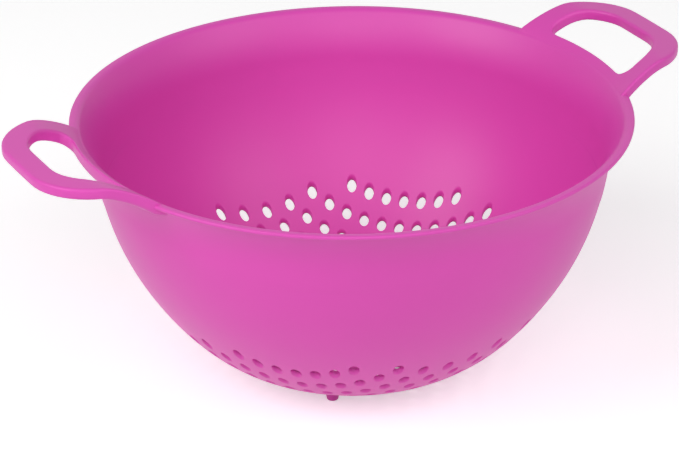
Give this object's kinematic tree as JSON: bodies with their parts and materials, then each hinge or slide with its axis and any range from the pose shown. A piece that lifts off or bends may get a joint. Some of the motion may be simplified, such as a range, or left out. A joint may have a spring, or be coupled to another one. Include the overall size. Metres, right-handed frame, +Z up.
{
  "type": "colander",
  "caption": "Deep round moulded-plastic colander with a perforated base, a flared lip, two loop handles that rise out of the rim and small peg feet.",
  "frame": {"origin": "on the surface that the feet stand on, under the bowl's axis", "axes": "+X along the line of the handles, through the right handle; +Y away from the viewer who has the right handle on the right; +Z up"},
  "size_m": [0.3312, 0.26, 0.1353],
  "materials": {
    "bowl_plastic": "satin"
  },
  "bodies": {
    "root": {"strainer_base": "bowl_plastic", "side_wall": "bowl_plastic", "rim_band": "bowl_plastic", "left_handle": "bowl_plastic", "right_handle": "bowl_plastic", "foot_left_front": "bowl_plastic", "foot_left_rear": "bowl_plastic", "foot_right_front": "bowl_plastic", "foot_right_rear": "bowl_plastic"}
  },
  "joints": []
}
